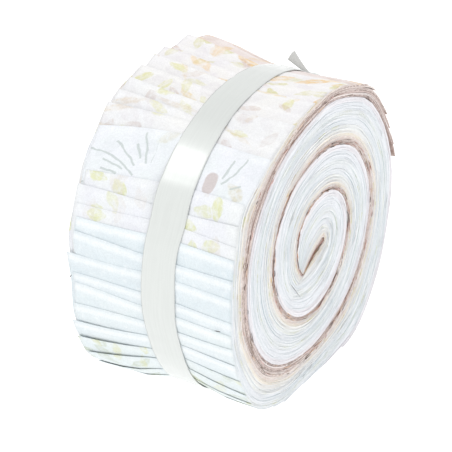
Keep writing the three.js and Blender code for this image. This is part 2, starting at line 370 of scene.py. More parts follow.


# A closed sheet over a grid of middle points, offset by half its thickness to either side. cloth
# has each point's place on the flat cloth, and the last argument how near it is to the fold line, which sets
# the painted highlight along the folded edge.
def closedSheet(name, middle, offset, cloth, materials, highlightNearness=None):
    rows, columns = middle.shape[:2]
    faces = np.concatenate([middle + offset, middle - offset]).reshape(-1, 3)
    number = np.arange(2 * rows * columns).reshape(2, rows, columns)
    over, under = number
    sides = [
        (over[:-1, :-1], over[1:, :-1], over[1:, 1:], over[:-1, 1:]),
        (under[:-1, :-1], under[:-1, 1:], under[1:, 1:], under[1:, :-1]),
        (over[0, :-1], over[0, 1:], under[0, 1:], under[0, :-1]),
        (over[-1, :-1], under[-1, :-1], under[-1, 1:], over[-1, 1:]),
        (over[:-1, 0], under[:-1, 0], under[1:, 0], over[1:, 0]),
        (over[:-1, -1], over[1:, -1], under[1:, -1], under[:-1, -1]),
    ]
    slots = np.concatenate([np.full(side[0].size, slot) for side, slot in zip(sides, (0, 0, 1, 1, 1, 1))])
    quads = np.concatenate([np.stack(side, -1).reshape(-1, 4) for side in sides])
    mesh = bpy.data.meshes.new(name)
    mesh.vertices.add(len(faces))
    mesh.vertices.foreach_set("co", (faces * mm).ravel())
    mesh.loops.add(quads.size)
    mesh.loops.foreach_set("vertex_index", quads.ravel())
    mesh.polygons.add(len(quads))
    mesh.polygons.foreach_set("loop_start", np.arange(0, quads.size, 4))
    mesh.update(calc_edges=True)
    # how strongly each point takes the painted highlight along its folded edge
    if highlightNearness is not None:
        nearness = mesh.attributes.new("foldHighlightBand", "FLOAT", "POINT")
        nearness.data.foreach_set("value", np.concatenate([highlightNearness, highlightNearness]).ravel())
    both = np.concatenate([cloth, cloth]).reshape(-1, 2) * mm
    mesh.uv_layers.new(name="cloth").data.foreach_set("uv", both[quads.ravel()].ravel())
    mesh.polygons.foreach_set("material_index", np.minimum(slots, len(materials) - 1))
    mesh.polygons.foreach_set("use_smooth", slots == 0)
    return addObject(name, mesh, materials)


def crossLength(a, b):
    return np.abs(a[..., 0] * b[..., 1] - a[..., 1] * b[..., 0])


def alongRows(points):
    return np.gradient(points, axis=0)


# Where the folded end of a strip lies, across its width, off the plain angle of its fold
def foldShift(place, x):
    shift = strips["foldWave"] * np.sin(x / strips["foldWaveLength"] + dice.uniform(0, 6))
    jitter, slant = dice.normal(0, (strips["foldJitter"], strips["foldSlant"]))
    if place not in foldLines:
        return shift + jitter + slant * x / roll["stripWidth"]
    back, under, front = foldLines[place]
    middle, flat = ribbon["middle"], ribbon["pressFlat"]
    marks = (-halfStrip, middle - flat, middle + flat, halfStrip)
    return shift + np.interp(x, marks, (back, under, under, front)) - under


# The way of one strip: out along its lower layer, round the fold and back along its upper layer
def stripPath(k):
    place = strips["count"] - k
    x = np.array(strips["columns"], float)[None, :]
    shift = foldShift(place, x)
    fold = foldAngle(k)
    reach = np.degrees(strips["foldReach"] / rollRadius)
    stations = np.concatenate([
        np.arange(winding["start"], strips["outerFrom"], strips["innerStep"]),
        np.arange(strips["outerFrom"], fold - reach - 1, strips["outerStep"]),
        fold - reach * np.array(strips["foldStations"]),
    ])
    angle = stations[:, None] + shift * smoothBetween(stations, fold - strips["foldSettles"], fold)[:, None]
    layers, thick = [], []
    for layer in strips["layerShares"]:
        share = np.full(angle.shape, (k + layer) / strips["count"])
        half = strips["layerHalf"] / strips["count"]
        points = layerPoint(angle, share)
        room = layerPoint(angle, share + half) - layerPoint(angle, share - half)
        course = alongRows(points)
        pitch = crossLength(course, room) / np.maximum(np.linalg.norm(course, axis=-1), 1e-6)
        layers.append(softened(points, k, angle, x))
        cloth = np.interp(angle, strips["thinning"], (strips["innerCloth"], strips["cloth"]))
        thick.append(np.minimum(pitch * strips["fill"], cloth))
    lower, upper = layers
    flattened = np.interp(place, strips["pressedPlaces"], strips["foldPressed"])
    flattened = flattened * smoothBetween(stations, fold - reach, fold)[:, None]
    sunk = outward(angle) * (flattened * thick[0] / 2)[..., None]
    upper = upper + (lower - upper) * flattened[..., None] - sunk
    lower = lower - sunk
    thick = [layer * (1 - flattened) for layer in thick]
    heel, toe = lower[-1], upper[-1]
    half = (toe - heel) / 2
    ahead = np.stack([half[:, 1], -half[:, 0]], axis=-1)
    ahead = ahead * np.sign(np.sum(ahead * alongRows(lower)[-1], axis=-1, keepdims=True))
    arc = np.radians(np.linspace(-90, 90, strips["lipSteps"])[1:-1])[:, None, None]
    lip = (heel + toe) / 2 + half * np.sin(arc) + ahead * np.cos(arc)
    path = np.concatenate([lower, lip, upper[::-1]])
    thickness = np.concatenate([thick[0], np.repeat(thick[0][-1:], len(arc), 0), thick[1][::-1]])
    return path, thickness, np.broadcast_to(x, path.shape[:2])


def makeStrip(k, materials):
    path, thickness, x = stripPath(k)
    course = unit(alongRows(path))
    underRibbon = path[:, strips["columns"].index(ribbon["middle"])]
    along = np.concatenate([[0], np.cumsum(np.linalg.norm(np.diff(underRibbon, axis=0), axis=-1))])
    wander = sum(np.sin(along / span + dice.uniform(0, 6)) for span in strips["wanderSpans"])[:, None]
    offsets = [size * dice.normal() for size in strips["edgeOffset"]]
    nearEnd = smoothBetween(np.abs(x), strips["wanderFrom"], halfStrip)
    places = x + nearEnd * (wander * np.where(x > 0, *strips["edgeWander"]) + np.where(x > 0, *offsets))
    normal = np.stack([np.zeros_like(x), course[..., 1], -course[..., 0]], axis=-1)
    offset = normal * thickness[..., None] / 2
    reached = np.radians(foldAngle(k)) * rollRadius
    fromFold = (along - along[-1] / 2)[:, None]
    cloth = np.stack([np.broadcast_to(fromFold - reached, x.shape), places], axis=-1)
    # painted highlight: strongest at the fold and fading away from it along the strip
    highlightNearness = np.exp(-((fromFold / strips["foldHighlightBand"]) ** 2)) * np.ones_like(x)
    piece = closedSheet(f"strip_{k + 1:02d}", onRoll(places, path), offset, cloth, materials, highlightNearness)
    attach(piece, "root")
    return piece


studio = {
    "brightness": 1.15,
    "sky": 1.1,
    "floorGlow": 0.85,
    "floorGrey": 0.42,
    "floorReach": 3,
    "aim": (0, 0, 50),
    # place, size and power of each soft light
    "lights": {"key": ((-490, -300, 980), 260, 2.4), "fill": ((1100, -350, 500), 500, 1.6)},
}


# Colours are written as they look on the screen in the studio's light
def screenColour(code):
    parts = [int(code[i : i + 2], 16) / 255 for i in (0, 2, 4)]
    linear = [p / 12.92 if p <= 0.04045 else ((p + 0.055) / 1.055) ** 2.4 for p in parts]
    return tuple(p / studio["brightness"] for p in linear) + (1.0,)


def fill(socket, value):
    if isinstance(value, bpy.types.NodeSocket):
        socket.id_data.links.new(value, socket)
    elif isinstance(value, str):
        socket.default_value = screenColour(value)
    else:
        socket.default_value = value


def fillInputs(node, inputs):
    for key, value in inputs.items():
        fill(node.inputs[key], value)


def addNode(tree, kind, inputs=None, **settings):
    node = tree.nodes.new("ShaderNode" + kind)
    for key, value in settings.items():
        setattr(node, key, value)
    fillInputs(node, inputs or {})
    return node


def calc(tree, operation, *values):
    return addNode(tree, "Math", dict(enumerate(values)), operation=operation).outputs[0]


def times(tree, a, b):
    return calc(tree, "MULTIPLY", a, b)


def divided(tree, a, b):
    return calc(tree, "DIVIDE", a, b)


def minus(tree, a, b):
    return calc(tree, "SUBTRACT", a, b)


def ramp(tree, value, low, high, toLow=0.0, toHigh=1.0):
    inputs = {"Value": value, "From Min": low, "From Max": high, "To Min": toLow, "To Max": toHigh}
    return addNode(tree, "MapRange", inputs, interpolation_type="SMOOTHSTEP").outputs[0]


def blendColour(tree, factor, a, b):
    return addNode(tree, "Mix", {0: factor, 6: a, 7: b}, data_type="RGBA").outputs[2]


def noiseAt(tree, place, scale, detail=2.0, rough=0.5):
    inputs = {"Vector": place, "Scale": scale, "Detail": detail, "Roughness": rough}
    return addNode(tree, "TexNoise", inputs).outputs["Fac"]


def vectorCalc(tree, operation, a, b):
    return addNode(tree, "VectorMath", {0: a, 1: b}, operation=operation).outputs[0]


def scaledBy(tree, vector, factor):
    return addNode(tree, "VectorMath", {0: vector, "Scale": factor}, operation="SCALE").outputs[0]


# Inputs are given by their kind or, where they are plain numbers, by their usual value
def nodeGroup(name, inputs, outputs):
    group = bpy.data.node_groups.new(name, "ShaderNodeTree")
    for label, value in inputs.items():
        kind = value if isinstance(value, str) else "Float"
        socket = group.interface.new_socket(label, in_out="INPUT", socket_type="NodeSocket" + kind)
        if kind == "Float":
            socket.default_value = value
    for label, kind in outputs.items():
        group.interface.new_socket(label, in_out="OUTPUT", socket_type="NodeSocket" + kind)
    start = group.nodes.new("NodeGroupInput").outputs
    end = group.nodes.new("NodeGroupOutput").inputs
    return group, start, end


def useGroup(tree, group, inputs):
    return addNode(tree, "Group", inputs, node_tree=group).outputs


# Plain weave: threads go over and under, each a little lighter or darker than the next
def makeWeave():
    inputs = {"Cloth": "Vector", "Thread": 0.00038, "Unevenness": 0.08}
    group, start, end = nodeGroup("plainWeave", inputs, {"Height": "Float", "Tone": "Float"})
    split = addNode(group, "SeparateXYZ", {0: start["Cloth"]}).outputs
    along = divided(group, split[0], start["Thread"])
    across = divided(group, split[1], start["Thread"])
    warp, weft = (
        calc(group, "ABSOLUTE", calc(group, "SINE", times(group, way, math.pi)))
        for way in (across, along)
    )
    alongCell, acrossCell = calc(group, "FLOOR", along), calc(group, "FLOOR", across)
    cell = addNode(group, "CombineXYZ", {0: alongCell, 1: acrossCell})
    over = calc(group, "ABSOLUTE", calc(group, "MODULO", calc(group, "ADD", alongCell, acrossCell), 2.0))
    height = addNode(group, "Mix", {0: over, 2: warp, 3: weft}).outputs[0]
    spun = addNode(group, "TexWhiteNoise", {"Vector": cell.outputs[0]}).outputs["Value"]
    tone = calc(group, "MULTIPLY_ADD", minus(group, spun, 0.5), start["Unevenness"], 1.0)
    fill(end["Height"], height)
    fill(end["Tone"], tone)
    return group


# Hand dyeing: two tints that run into each other, with a few paler spots
def makeDye():
    inputs = {
        "Cloth": "Vector", "Tint": "Color", "Other Tint": "Color",
        "Size": 0.012, "Contrast": 0.5,
    }
    group, start, end = nodeGroup("handDye", inputs, {"Color": "Color"})
    scale = divided(group, 1.0, start["Size"])
    pools = noiseAt(group, start["Cloth"], scale, 4.0, 0.6)
    low = minus(group, 0.5, times(group, start["Contrast"], 0.25))
    high = calc(group, "ADD", 0.5, times(group, start["Contrast"], 0.25))
    share = addNode(group, "MapRange", {"Value": pools, "From Min": low, "From Max": high}).outputs[0]
    spots = noiseAt(group, start["Cloth"], times(group, scale, 4.0), 2.0)
    pale = ramp(group, spots, 0.55, 0.75, 0.0, 0.2)
    mixed = blendColour(group, share, start["Tint"], start["Other Tint"])
    fill(end["Color"], blendColour(group, pale, mixed, "FFFFFF"))
    return group


# Moves places on the cloth about, so that what is printed there gets uneven edges
def shaken(group, cloth, scale, detail, distance):
    noise = addNode(group, "TexNoise", {"Vector": cloth, "Scale": scale, "Detail": detail}).outputs["Color"]
    shake = scaledBy(group, vectorCalc(group, "SUBTRACT", noise, (0.5, 0.5, 0.5)), distance)
    return vectorCalc(group, "ADD", cloth, shake)


# Scattered motifs: each cell of the cloth may hold one, turned its own way
def scatterCells(group, start, wobble):
    place = shaken(group, start["Cloth"], 190.0, 4.0, wobble)
    place = vectorCalc(group, "SUBTRACT", place, start["Shift"])
    spaced = scaledBy(group, place, divided(group, 1.0, start["Spacing"]))
    inputs = {"Vector": spaced, "Scale": 1.0, "Randomness": 0.8}
    cells = addNode(group, "TexVoronoi", inputs, voronoi_dimensions="2D")
    local = vectorCalc(group, "SUBTRACT", spaced, cells.outputs["Position"])
    chances = addNode(group, "SeparateColor", {0: cells.outputs["Color"]}).outputs
    turn = times(group, chances[0], 6.283)  # up to a full circle
    x, y = addNode(group, "SeparateXYZ", {0: local}).outputs[:2]
    sine, cosine = calc(group, "SINE", turn), calc(group, "COSINE", turn)
    long = calc(group, "ADD", times(group, x, cosine), times(group, y, sine))
    wide = minus(group, times(group, y, cosine), times(group, x, sine))
    shown = calc(group, "LESS_THAN", chances[1], start["Amount"])
    return long, wide, shown, chances[2]


def makeLeaves():
    inputs = {
        "Cloth": "Vector", "Shift": "Vector", "Spacing": 0.011,
        "Length": 0.6, "Width": 0.2, "Amount": 0.6,
    }
    outputs = {"Mask": "Float", "Rib": "Float", "Tone": "Float"}
    group, start, end = nodeGroup("scatteredLeaves", inputs, outputs)
    long, wide, shown, tone = scatterCells(group, start, 0.003)
    far = divided(group, long, start["Length"])
    room = times(group, start["Width"], minus(group, 1.0, times(group, far, far)))
    side = calc(group, "ABSOLUTE", wide)
    inside = ramp(group, minus(group, room, side), -0.01, 0.06)
    worn = ramp(group, noiseAt(group, start["Cloth"], 420.0), 0.35, 0.6, 0.35, 1.0)
    inside = times(group, inside, worn)
    rib = ramp(group, side, 0.012, 0.03, 1.0, 0.0)
    fill(end["Mask"], times(group, inside, shown))
    fill(end["Rib"], rib)
    fill(end["Tone"], tone)
    return group


def makePetals():
    inputs = {
        "Cloth": "Vector", "Shift": "Vector", "Spacing": 0.014,
        "Length": 0.3, "Width": 0.2, "Amount": 0.5,
    }
    group, start, end = nodeGroup("scatteredPetals", inputs, {"Mask": "Float", "Tone": "Float"})
    long, wide, shown, tone = scatterCells(group, start, 0.002)
    far = calc(group, "POWER", divided(group, long, start["Length"]), 2.0)
    side = calc(group, "POWER", divided(group, wide, start["Width"]), 2.0)
    inside = ramp(group, calc(group, "ADD", far, side), 0.7, 1.2, 1.0, 0.0)
    fill(end["Mask"], times(group, inside, shown))
    fill(end["Tone"], tone)
    return group


# A spray of thin twigs that spread from one point over part of a circle. Angles are in radians.
def makeTwigs():
    inputs = {
        "Cloth": "Vector", "Middle": "Vector", "Reach": 0.018,
        "Line": 0.0008, "From": -1.7, "Step": 0.26, "Twigs": 7.0,
    }
    group, start, end = nodeGroup("twigSpray", inputs, {"Mask": "Float"})
    local = vectorCalc(group, "SUBTRACT", shaken(group, start["Cloth"], 200.0, 2.0, 0.002), start["Middle"])
    x, y = addNode(group, "SeparateXYZ", {0: local}).outputs[:2]
    length = addNode(group, "VectorMath", {0: local}, operation="LENGTH").outputs["Value"]
    far = divided(group, length, start["Reach"])
    around = calc(group, "ARCTAN2", y, times(group, x, -1.0))
    around = calc(group, "MULTIPLY_ADD", times(group, far, far), 0.25, around)
    place = divided(group, minus(group, around, start["From"]), start["Step"])
    number = calc(group, "FLOOR", place)
    chance = addNode(group, "TexWhiteNoise", {"W": number}, noise_dimensions="1D").outputs["Value"]
    aside = minus(group, minus(group, place, number), ramp(group, chance, 0.0, 1.0, 0.3, 0.7))
    aside = times(group, times(group, calc(group, "ABSOLUTE", aside), start["Step"]), far)
    aside = divided(group, times(group, aside, start["Reach"]), start["Line"])
    line = ramp(group, aside, 0.3, 0.7, 1.0, 0.0)
    inner = calc(group, "MULTIPLY_ADD", chance, 0.2, 0.22)
    outer = calc(group, "MULTIPLY_ADD", chance, -0.4, 1.0)
    within = times(group, calc(group, "GREATER_THAN", far, inner), calc(group, "LESS_THAN", far, outer))
    first, last = calc(group, "GREATER_THAN", place, 0.0), calc(group, "LESS_THAN", place, start["Twigs"])
    fill(end["Mask"], times(group, times(group, line, within), times(group, first, last)))
    return group


# One petal at a chosen place
def makePetal():
    inputs = {"Cloth": "Vector", "Middle": "Vector", "Length": 0.004, "Width": 0.0025}
    group, start, end = nodeGroup("placedPetal", inputs, {"Mask": "Float"})
    local = vectorCalc(group, "SUBTRACT", start["Cloth"], start["Middle"])
    x, y = addNode(group, "SeparateXYZ", {0: local}).outputs[:2]
    far, side = (
        calc(group, "POWER", calc(group, "ABSOLUTE", divided(group, way, start[size])), 2.6)
        for way, size in ((x, "Length"), (y, "Width"))
    )
    rough = noiseAt(group, start["Cloth"], 500.0)
    ragged = calc(group, "MULTIPLY_ADD", rough, 0.5, calc(group, "ADD", far, side))
    fill(end["Mask"], ramp(group, ragged, 0.9, 1.4, 1.0, 0.0))
    return group


# The cut edge of a strip, where loose threads show light or dark along it
def makeCutEdge():
    inputs = {"Cloth": "Vector", "Layer": 0.0, "Tint": "Color", "Fray": "Color", "Share": 0.4, "Dash": 0.0016}
    group, start, end = nodeGroup("cutEdge", inputs, {"Color": "Color"})
    along = addNode(group, "SeparateXYZ", {0: start["Cloth"]}).outputs[0]
    placed = addNode(group, "CombineXYZ", {0: along, 1: start["Layer"]}).outputs[0]
    dashes = noiseAt(group, placed, divided(group, 1.0, start["Dash"]), 2.0, 0.7)
    long = noiseAt(group, placed, 45.0, 1.0)
    frayed = times(group, ramp(group, dashes, 0.44, 0.56), start["Share"])
    mixed = blendColour(group, frayed, start["Tint"], start["Fray"])
    fill(end["Color"], scaledBy(group, mixed, ramp(group, long, 0.3, 0.7, 0.97, 1.02)))
    return group


weave, dye, leaves, petals = makeWeave(), makeDye(), makeLeaves(), makePetals()
twigs, petal, cutEdge = makeTwigs(), makePetal(), makeCutEdge()


def newMaterial(name):
    material = bpy.data.materials.new(name)
    material.use_nodes = True
    tree = material.node_tree
    return material, tree, tree.nodes["Principled BSDF"]


def clothMap(tree):
    return addNode(tree, "UVMap", uv_map="cloth").outputs[0]


# Prints that stand at a chosen place on the roll: group, colour, x, angle and the group's other inputs
placedPrints = {
    "twigWhite": [
        (twigs, "BDC6C4", -8.5, 126.5,
         {"Reach": 0.028, "From": math.radians(-104), "Step": math.radians(13), "Twigs": 8.5}),
        (twigs, "BDC6C4", 17, 132,
         {"Reach": 0.017, "From": math.radians(8), "Step": math.radians(24), "Twigs": 3.0}),
        (petal, "C6B9B6", 15.5, 134.5, {}),
    ],
}
cottonFinish = {"Roughness": 0.88, "Sheen Weight": 0.25, "Specular IOR Level": 0.25}
# the fold entry is the strength of the painted highlight along folded edges, by the kind of the first motif
cottonFeel = {"bump": 0.00006, "paintedFoldHighlight": {"leaves": 0.15, "petals": 0.5}, "placedStrength": 0.75}


# One printed cotton. Each motif is (kind, colour, strength, spacing in mm, long, wide, amount).
def printedCotton(name, ground, otherGround, motifs, seed):
    material, tree, shader = newMaterial(name)
    cloth = clothMap(tree)
    colour = useGroup(tree, dye, {"Cloth": cloth, "Tint": ground, "Other Tint": otherGround})[0]
    for i, (kind, tint, strength, spacing, long, wide, amount) in enumerate(motifs):
        shift = (seed * 0.37 + i * 0.113, seed * 0.21 + i * 0.171, 0)
        inputs = {"Cloth": cloth, "Shift": shift, "Spacing": spacing * mm, "Length": long, "Width": wide}
        outputs = useGroup(tree, leaves if kind == "leaves" else petals, {**inputs, "Amount": amount})
        mask = times(tree, outputs["Mask"], ramp(tree, outputs["Tone"], 0.0, 1.0, 0.55, 1.0))
        if kind == "leaves":
            mask = times(tree, mask, calc(tree, "MULTIPLY_ADD", outputs["Rib"], -0.3, 1.0))
        colour = blendColour(tree, times(tree, mask, strength), colour, tint)
    for group, tint, x, angle, shape in placedPrints.get(name, []):
        reached = np.radians(winding["outerTurn"] + angle) * rollRadius
        inputs = {"Cloth": cloth, "Middle": (-reached * mm, x * mm, 0), **shape}
        mask = useGroup(tree, group, inputs)["Mask"]
        colour = blendColour(tree, times(tree, mask, cottonFeel["placedStrength"]), colour, tint)
    # Painted highlight: the cloth is mixed towards white along the folded edges, where the rounded folds catch
    # the light
    line = addNode(tree, "Attribute", attribute_name="foldHighlightBand").outputs["Fac"]
    light = cottonFeel["paintedFoldHighlight"][motifs[0][0]]
    colour = blendColour(tree, times(tree, line, light), colour, "FFFFFF")
    woven = useGroup(tree, weave, {"Cloth": cloth})
    fill(shader.inputs["Base Color"], scaledBy(tree, colour, woven["Tone"]))
    bump = addNode(tree, "Bump", {"Height": woven["Height"], "Distance": cottonFeel["bump"], "Strength": 0.5})
    fill(shader.inputs["Normal"], bump.outputs[0])
    fillInputs(shader, cottonFinish)
    return material


def edgeCotton(name, tint, fray, share, layer):
    material, tree, shader = newMaterial(name)
    inputs = {"Cloth": clothMap(tree), "Layer": layer, "Tint": tint, "Fray": fray, "Share": share}
    fill(shader.inputs["Base Color"], useGroup(tree, cutEdge, inputs)["Color"])
    fillInputs(shader, cottonFinish)
    return material


# The cloths from the middle of the roll outwards: two tints of the ground, the motifs, and for each of
# the cloth's strips its cut edge, as (tint, fray, share of fray)
clothRange = {
    "rose": {"ground": ("C0AAA1", "A99089"), "motifs": [("leaves", "7E5E54", 0.6, 8, 0.6, 0.2, 0.6)],
     "edges": [("A3928D", "E2D0CB", 0.8), ("E8DCD8", "F4EEEB", 0.7), ("DECDC8", "BEA8A1", 0.6)]},
    "brown": {"ground": ("C8B6AD", "B9A59C"), "motifs": [("leaves", "8A6A5C", 0.6, 9, 0.6, 0.2, 0.6)],
     "edges": [("A1908A", "E3D3CD", 0.8), ("ECE2DE", "D0B9B2", 0.6)]},
    "tan": {"ground": ("E8DDDA", "E3D6D2"),
     "motifs": [("leaves", "C09A80", 0.6, 10, 0.6, 0.2, 0.6), ("leaves", "E3BE77", 0.7, 12, 0.6, 0.18, 0.5),
                ("petals", "D8C6BE", 0.6, 12, 0.3, 0.2, 0.5)],
     "edges": [("E6D8D2", "F4EDE9", 0.7), ("AC9992", "EADCD6", 0.8), ("E9DED8", "F2E9E3", 0.7)]},
    "pinkBeige": {"ground": ("ECEAE8", "E9E7E9"),
     "motifs": [("leaves", "E2DEE2", 0.7, 9, 0.6, 0.3, 0.8), ("leaves", "D2CD8E", 0.85, 10, 0.5, 0.2, 0.65),
                ("leaves", "E6BE72", 0.85, 14, 0.62, 0.2, 0.5), ("leaves", "C9A995", 0.6, 12, 0.5, 0.15, 0.5)],
     "edges": [("F0E9E4", "CDB3A9", 0.6), ("DCCBC3", "F1E9E3", 0.7), ("EEE6DE", "DECDC2", 0.5)]},
    "cream": {"ground": ("EBEAE8", "E8E7E9"),
     "motifs": [("leaves", "DEDBDD", 0.6, 9, 0.6, 0.32, 0.8), ("leaves", "E2C888", 0.75, 17, 0.75, 0.1, 0.7),
                ("leaves", "DAD89C", 0.8, 9, 0.5, 0.2, 0.6), ("leaves", "CDB9AB", 0.6, 9, 0.5, 0.18, 0.55)],
     "edges": [("ECE3D4", "F5F0E8", 0.7)] * 2},
    "leafWhite": {"ground": ("EAEAE9", "E7E8EB"),
     "motifs": [("leaves", "DFDDE0", 0.6, 10, 0.6, 0.32, 0.8), ("leaves", "D9D89E", 0.8, 10, 0.5, 0.18, 0.6),
                ("leaves", "D3BF9F", 0.65, 15, 0.7, 0.1, 0.6), ("leaves", "CFC3BF", 0.6, 11, 0.4, 0.22, 0.5)],
     "edges": [("EAE9E6", "F3F2F0", 0.7)] * 3},
    "twigWhite": {"ground": ("E6EBED", "E8EAF0"),
     "motifs": [("leaves", "DADFE3", 0.5, 11, 0.6, 0.3, 0.5), ("leaves", "CFC6A4", 0.6, 16, 0.3, 0.16, 0.3)],
     "edges": [("E9EBEA", "F2F4F3", 0.7)]},
    "springWhite": {"ground": ("E7EAEB", "E5E7ED"),
     "motifs": [("leaves", "DCDDE4", 0.6, 10, 0.6, 0.3, 0.7), ("leaves", "D6D99C", 0.8, 10, 0.45, 0.24, 0.8),
                ("leaves", "DDD8D2", 0.6, 10, 0.5, 0.25, 0.5)],
     "edges": [("E9EBEA", "F2F4F3", 0.7)] * 3},
    "iceBlue": {"ground": ("D9E3E8", "DEE7EB"), "motifs": [("petals", "E6EDF0", 0.5, 16, 0.4, 0.3, 0.6)],
     "edges": [("E4E7EB", "EFF1F4", 0.7)] * 4},
    "paleAqua": {"ground": ("DEE7EB", "E0E9EB"), "motifs": [("petals", "E8EDF0", 0.5, 15, 0.4, 0.3, 0.6)],
     "edges": [("E4E7EB", "EFF1F4", 0.7)] * 3},
    "aquaGreen": {"ground": ("DFE8EB", "E0E8E7"),
     "motifs": [("leaves", "A9B68E", 0.6, 12, 0.6, 0.2, 0.5), ("leaves", "D6D69A", 0.6, 10, 0.5, 0.2, 0.5)],
     "edges": [("E5E8EA", "EFF1F3", 0.7)] * 4},
    "softAqua": {"ground": ("E1E8EC", "E3EAEC"), "motifs": [("petals", "EAEDF0", 0.5, 15, 0.4, 0.3, 0.6)],
     "edges": [("E3E6EB", "EEF0F4", 0.7)] * 6},
    "lilac": {"ground": ("E8E6EC", "EAE6EA"), "motifs": [("petals", "EFEDF0", 0.5, 15, 0.4, 0.3, 0.6)],
     "edges": [("E6E4E8", "F2F0F3", 0.7)] * 3},
}


def clothsInOrder():
    count = 0
    for seed, (name, cloth) in enumerate(clothRange.items()):
        face = printedCotton(name, *cloth["ground"], cloth["motifs"], seed)
        for edge in cloth["edges"]:
            count += 1
            yield [face, edgeCotton(f"cut_edge_{count:02d}", *edge, count * strips["cloth"] * mm)]


print("strips")
stripPieces = [makeStrip(k, cloths) for k, cloths in enumerate(clothsInOrder())]
for k, piece in enumerate(stripPieces):
    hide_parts("roll_body")
for n in range(strips["looseCount"]):
    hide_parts(f"loose_fold_{n + 1}")
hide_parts("last_fold")


# Ribbon: a band round the roll, its knot and two free ends
satinFinish = {"Specular IOR Level": 1.0, "Coat Roughness": 0.27}
# the tone value is how dark the painted shade over the ribbon's top grows
satinFeel = {"thread": 0.0003, "slubs": (60.0, 1400.0, 1.0), "paintedShadeTone": 0.92, "bump": 0.00002}


def satinRibbon(name, tints, roughness, coat):
    material, tree, shader = newMaterial(name)
    cloth = clothMap(tree)
    split = addNode(tree, "SeparateXYZ", {0: cloth}).outputs
    threadWaves = calc(tree, "SINE", times(tree, split[1], 2 * math.pi / satinFeel["thread"]))
    slubs = noiseAt(tree, vectorCalc(tree, "MULTIPLY", cloth, satinFeel["slubs"]), 1.0, 2.0)
    tints = blendColour(tree, ramp(tree, slubs, 0.3, 0.7), *tints)
    # Painted shade: from the first given angle to the second the ribbon's colour darkens, and it stays darker
    # over the top to the knot
    start = 360 - ribbon["knotAngle"]
    reached = [math.radians(start + angle) * ribbon["reach"] * mm for angle in ribbon["paintedShade"]]
    tone = ramp(tree, split[0], *reached, 1.0, satinFeel["paintedShadeTone"])
    fill(shader.inputs["Base Color"], scaledBy(tree, tints, tone))
    bump = addNode(tree, "Bump", {"Height": threadWaves, "Distance": satinFeel["bump"], "Strength": 0.4})
    fill(shader.inputs["Normal"], bump.outputs[0])
    fillInputs(shader, {"Roughness": roughness, "Coat Weight": coat, **satinFinish})
    return material


def ribbonAt(angle):
    course = np.array(ribbon["course"], float)
    places = np.asarray(angle) % 360
    return np.interp(places, course[:, 0], course[:, 1]), np.interp(places, course[:, 0], course[:, 2])


def smoothed(values, reach):
    kernel = np.hanning(reach + 2)[1:-1]
    padded = np.concatenate([values[-reach:], values, values[:reach]])
    return np.convolve(padded, kernel / kernel.sum(), mode="same")[reach:-reach]


def sheetOnRoll(name, x, angle, radius, cloth, materials):
    middle = onRoll(x, outward(angle) * radius[..., None])
    normal = unit(np.cross(alongRows(middle), np.gradient(middle, axis=1)))
    return closedSheet(name, middle, normal * ribbon["thickness"] / 2, cloth, materials)


# Between two angles the ribbon is drawn straight, though never far under the roll's surface
def tautRadius(angle, radius):
    low, high = ribbon["taut"]
    turn = angle - 360
    first, last = (np.argmin(np.abs(turn - at)) for at in (low, high))
    a, b = radius[first], radius[last]
    fromStart, toEnd = np.radians(turn - low)[:, None], np.radians(high + 360 - angle)[:, None]
    straight = a * b * math.sin(math.radians(high - low)) / (a * np.sin(fromStart) + b * np.sin(toEnd))
    between = ((turn > low) & (turn < high))[:, None]
    return np.where(between, np.maximum(straight, radius - ribbon["sink"]), radius)


bandShape = {
    "steps": 240,
    "columns": 25,
    "smoothing": 9,
    "gatheredBelow": 12,
    "pleats": 3.5,
    "pleat": 0.7,
    "ridge": 0.1,
    "selvedge": 0.16,
    "clearance": 0.2,
}


def makeBand(materials):
    angle = ribbon["knotAngle"] + np.linspace(0, 360, bandShape["steps"] + 1)
    middle, width = (smoothed(values[:-1], bandShape["smoothing"]) for values in ribbonAt(angle))
    middle, width = np.append(middle, middle[0]), np.append(width, width[0])
    across = np.linspace(-0.5, 0.5, bandShape["columns"])
    x = middle[:, None] + width[:, None] * across
    gathered = np.clip(1 - width / bandShape["gatheredBelow"], 0, 1)[:, None]
    pleats = bandShape["pleat"] * gathered ** 1.5 * np.cos(2 * np.pi * across * bandShape["pleats"] + 0.6)
    passed = (angle - strips["firstFold"]) % 360, (foldAngles - strips["firstFold"]) % 360
    folds = np.interp(*passed, np.arange(strips["count"]), period=360) % 1
    ridge = bandShape["ridge"] * folds[:, None] ** 2
    selvedge = -bandShape["selvedge"] * (2 * np.abs(across)) ** 8
    angleGrid = np.broadcast_to(angle[:, None], x.shape)
    radius = outlineRadius(angle)[:, None] + unevenness(angleGrid, ribbon["middle"]) + crumpled(angleGrid, x)
    radius = tautRadius(angle, radius)
    radius = radius - ribbon["press"] + ribbon["proud"] + pleats + ridge + selvedge
    radius = restingRadius(angleGrid, radius, bandShape["clearance"])
    length = np.radians(angle - angle[0]) * ribbon["reach"]
    cloth = np.stack(np.broadcast_arrays(length[:, None], ribbon["width"] * across[None, :]), axis=-1)
    return sheetOnRoll("ribbon", x, angleGrid, radius, cloth, materials)


print("ribbon")
satin = satinRibbon("satin", ("D1D5D2", "D5D9D6"), 0.3, 0.8)
# The free ends' satin: rougher and without coat for their dull back, and a darker tint that is painted shade
dullShadedSatin = satinRibbon("dullShadedSatin", ("B9B9B6", "C0C0BC"), 0.5, 0.0)
band = makeBand([satin])
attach(band, "root")
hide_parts("ribbon_band")


